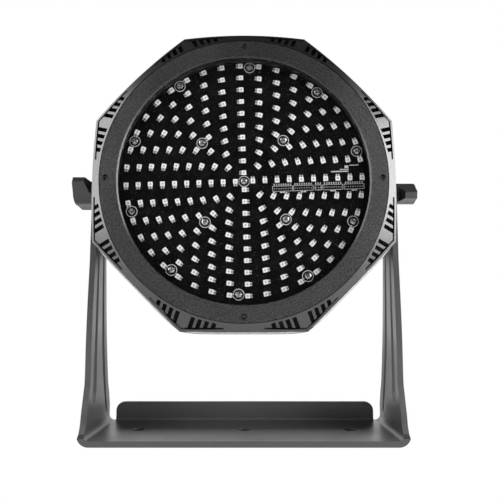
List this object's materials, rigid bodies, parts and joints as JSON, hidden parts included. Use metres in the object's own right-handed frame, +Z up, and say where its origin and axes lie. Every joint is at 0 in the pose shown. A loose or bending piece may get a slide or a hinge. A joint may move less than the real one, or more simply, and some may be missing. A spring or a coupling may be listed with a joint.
{
  "type": "par can light",
  "caption": "Octagonal LED par can light head tilting in a bent floor yoke, with wing clamp knobs, rear fan, display, buttons and sockets.",
  "frame": {"origin": "middle of the yoke's underside, below the centre of the object's outline", "axes": "+Z up, -Y is the way the lamp shines, +X to the right seen from the front"},
  "size_m": [0.374, 0.1411, 0.4204],
  "materials": {
    "yoke_coat": "fine grey-black powder coat",
    "cover_coat": "satin black powder coat",
    "bezel_coat": "fine-textured black powder coat",
    "solder_mask": "satin black solder mask",
    "window_clear": "clear polycarbonate",
    "rubber": "matt black silicone",
    "bare_aluminium": "cast and machined",
    "bright_steel": "zinc plated",
    "black_screw": "black zinc",
    "black_plastic": "moulded, lightly textured",
    "nylon": "natural nylon",
    "circuit_board": "green solder mask",
    "socket_blue": "moulded plastic",
    "socket_grey": "moulded plastic",
    "button_grey": "moulded plastic"
  },
  "bodies": {
    "yoke": {"yoke": "yoke_coat"},
    "head": {"front_cover": "cover_coat", "housing_shell": "cover_coat", "rear_cover": "cover_coat", "bezel_ring": "bezel_coat", "led_board": "solder_mask", "front_window": "window_clear", "window_gasket": "rubber", "heat_sink": "bare_aluminium", "display_window": "window_clear", "control_board": "circuit_board", "led_driver": "circuit_board", "power_supply": "bare_aluminium", "power_inlet": "socket_blue", "power_outlet": "socket_grey", "signal_inlet": "black_plastic", "signal_outlet": "black_plastic", "fuse_holder": "black_plastic", "safety_eye": "bright_steel", "fan_frame": "black_plastic", "fan_guard": "bright_steel", "pivot_bush_left": "bright_steel", "friction_washer_left": "nylon", "pivot_bush_right": "bright_steel", "friction_washer_right": "nylon", "bezel_screw_top": "black_screw", "bezel_screw_bottom": "black_screw", "bezel_screw_left": "black_screw", "bezel_screw_right": "black_screw", "board_screw_01": "black_screw", "board_screw_02": "black_screw", "board_screw_03": "black_screw", "board_screw_04": "black_screw", "board_screw_05": "black_screw", "board_screw_06": "black_screw", "board_screw_07": "black_screw", "board_screw_08": "black_screw", "board_screw_09": "black_screw", "board_screw_10": "black_screw", "board_screw_11": "black_screw", "board_screw_12": "black_screw", "board_screw_13": "black_screw", "board_screw_14": "black_screw", "board_screw_15": "black_screw", "rear_screw_1": "black_screw", "rear_screw_2": "black_screw", "rear_screw_3": "black_screw", "rear_screw_4": "black_screw"},
    "knob_left": {"knob_grip_left": "black_plastic", "knob_stud_left": "bright_steel", "clamp_washer_left": "bright_steel"},
    "knob_right": {"knob_grip_right": "black_plastic", "knob_stud_right": "bright_steel", "clamp_washer_right": "bright_steel"},
    "button_menu": {"button_menu": "button_grey"},
    "button_down": {"button_down": "button_grey"},
    "button_up": {"button_up": "button_grey"},
    "button_enter": {"button_enter": "button_grey"},
    "fan_rotor": {"fan_rotor": "black_plastic"},
    "fuse_cap": {"fuse_cap": "black_plastic"}
  },
  "joints": [
    {"name": "head_tilt", "type": "hinge", "parent": "yoke", "child": "head", "pos_m": [0, 0, 0.261], "axis": [1, 0, 0], "range_deg": [-120, 120]},
    {"name": "knob_left_turn", "type": "hinge", "parent": "head", "child": "knob_left", "pos_m": [-0.176, 0, 0.261], "axis": [-1, 0, 0], "range_deg": [0, 450]},
    {"name": "knob_right_turn", "type": "hinge", "parent": "head", "child": "knob_right", "pos_m": [0.176, 0, 0.261], "axis": [1, 0, 0], "range_deg": [0, 450]},
    {"name": "button_menu_press", "type": "slide", "parent": "head", "child": "button_menu", "axis": [0, -0.9993, 0.0384], "range_m": [0, 0.001], "stiffness_N_per_m": 800},
    {"name": "button_down_press", "type": "slide", "parent": "head", "child": "button_down", "axis": [0, -0.9993, 0.0384], "range_m": [0, 0.001], "stiffness_N_per_m": 800},
    {"name": "button_up_press", "type": "slide", "parent": "head", "child": "button_up", "axis": [0, -0.9993, 0.0384], "range_m": [0, 0.001], "stiffness_N_per_m": 800},
    {"name": "button_enter_press", "type": "slide", "parent": "head", "child": "button_enter", "axis": [0, -0.9993, 0.0384], "range_m": [0, 0.001], "stiffness_N_per_m": 800},
    {"name": "fan_spin", "type": "hinge", "parent": "head", "child": "fan_rotor", "pos_m": [0, 0.0417, 0.30643], "axis": [0, 0.9993, -0.0384], "continuous": true},
    {"name": "fuse_cap_turn", "type": "hinge", "parent": "head", "child": "fuse_cap", "pos_m": [0, 0.05493, 0.18183], "axis": [0, 0.9993, -0.0384], "range_deg": [0, 90]}
  ]
}
